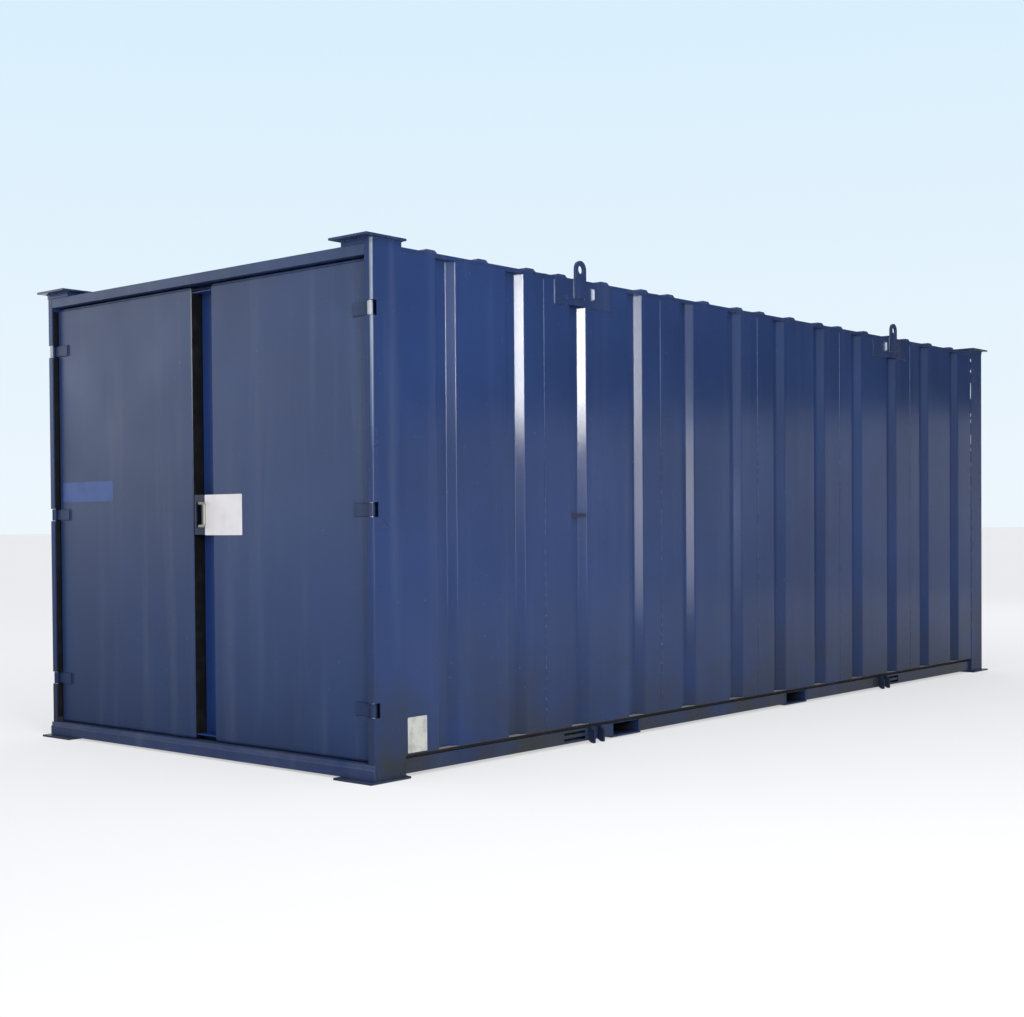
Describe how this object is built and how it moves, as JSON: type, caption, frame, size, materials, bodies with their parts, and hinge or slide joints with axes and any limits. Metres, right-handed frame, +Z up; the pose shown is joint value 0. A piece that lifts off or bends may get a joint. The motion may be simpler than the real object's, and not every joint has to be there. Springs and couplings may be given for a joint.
{
  "type": "steel site-storage container",
  "caption": "Steel site-storage container with grooved side walls, ribbed roof, fork pockets, lifting eyes, pad feet and hinged double doors with a recessed lock channel.",
  "frame": {"origin": "on the ground, at the middle of the box around the container", "axes": "+Z up, +Y along the container away from the doors, +X to the right of someone facing the doors"},
  "size_m": [2.74, 7.3, 2.7049],
  "materials": {
    "body_paint": "semi-gloss navy paint on steel",
    "door_paint": "semi-gloss navy paint on steel, chalked",
    "dark_paint": "dark blue-black paint on steel",
    "bare_steel": "dull bare steel",
    "floor_board": "phenol-faced plywood"
  },
  "bodies": {
    "container": {"front_left_post": "body_paint", "front_right_post": "body_paint", "rear_left_post": "body_paint", "rear_right_post": "body_paint", "foot_plates": "body_paint", "stacking_blocks": "body_paint", "stacking_plates": "body_paint", "door_header": "body_paint", "door_sill": "body_paint", "door_stops": "body_paint", "rear_top_rail": "body_paint", "rear_bottom_rail": "body_paint", "left_bottom_rail": "body_paint", "right_bottom_rail": "body_paint", "left_wall_ledge": "body_paint", "right_wall_ledge": "body_paint", "left_top_rail": "body_paint", "right_top_rail": "body_paint", "left_wall": "body_paint", "right_wall": "body_paint", "rear_wall": "body_paint", "roof_sheet": "body_paint", "floor_deck": "floor_board", "floor_bearers": "body_paint", "fork_pocket_sides": "body_paint", "fork_pocket_plates": "body_paint", "lug_spreaders": "body_paint", "lifting_lugs": "body_paint", "rail_cheeks": "dark_paint", "recess_bars": "body_paint", "holdback_bars": "dark_paint", "left_hinge_lugs": "dark_paint", "right_hinge_lugs": "dark_paint", "left_hinge_pins": "bare_steel", "right_hinge_pins": "bare_steel"},
    "left_door": {"left_door_panel": "door_paint", "left_door_stiffeners": "door_paint", "left_hinge_straps": "door_paint"},
    "right_door": {"right_door_panel": "door_paint", "right_door_stiffeners": "door_paint", "right_hinge_straps": "door_paint", "lock_channel": "door_paint", "lock_channel_caps": "door_paint", "lock_box": "door_paint", "lock_handle": "bare_steel"}
  },
  "joints": [
    {"name": "left_door_hinge", "type": "hinge", "parent": "container", "child": "left_door", "pos_m": [-1.321, -3.579, 1.32], "axis": [0, 0, -1], "range_deg": [0, 230]},
    {"name": "right_door_hinge", "type": "hinge", "parent": "container", "child": "right_door", "pos_m": [1.321, -3.579, 1.32], "axis": [0, 0, 1], "range_deg": [0, 230]}
  ]
}
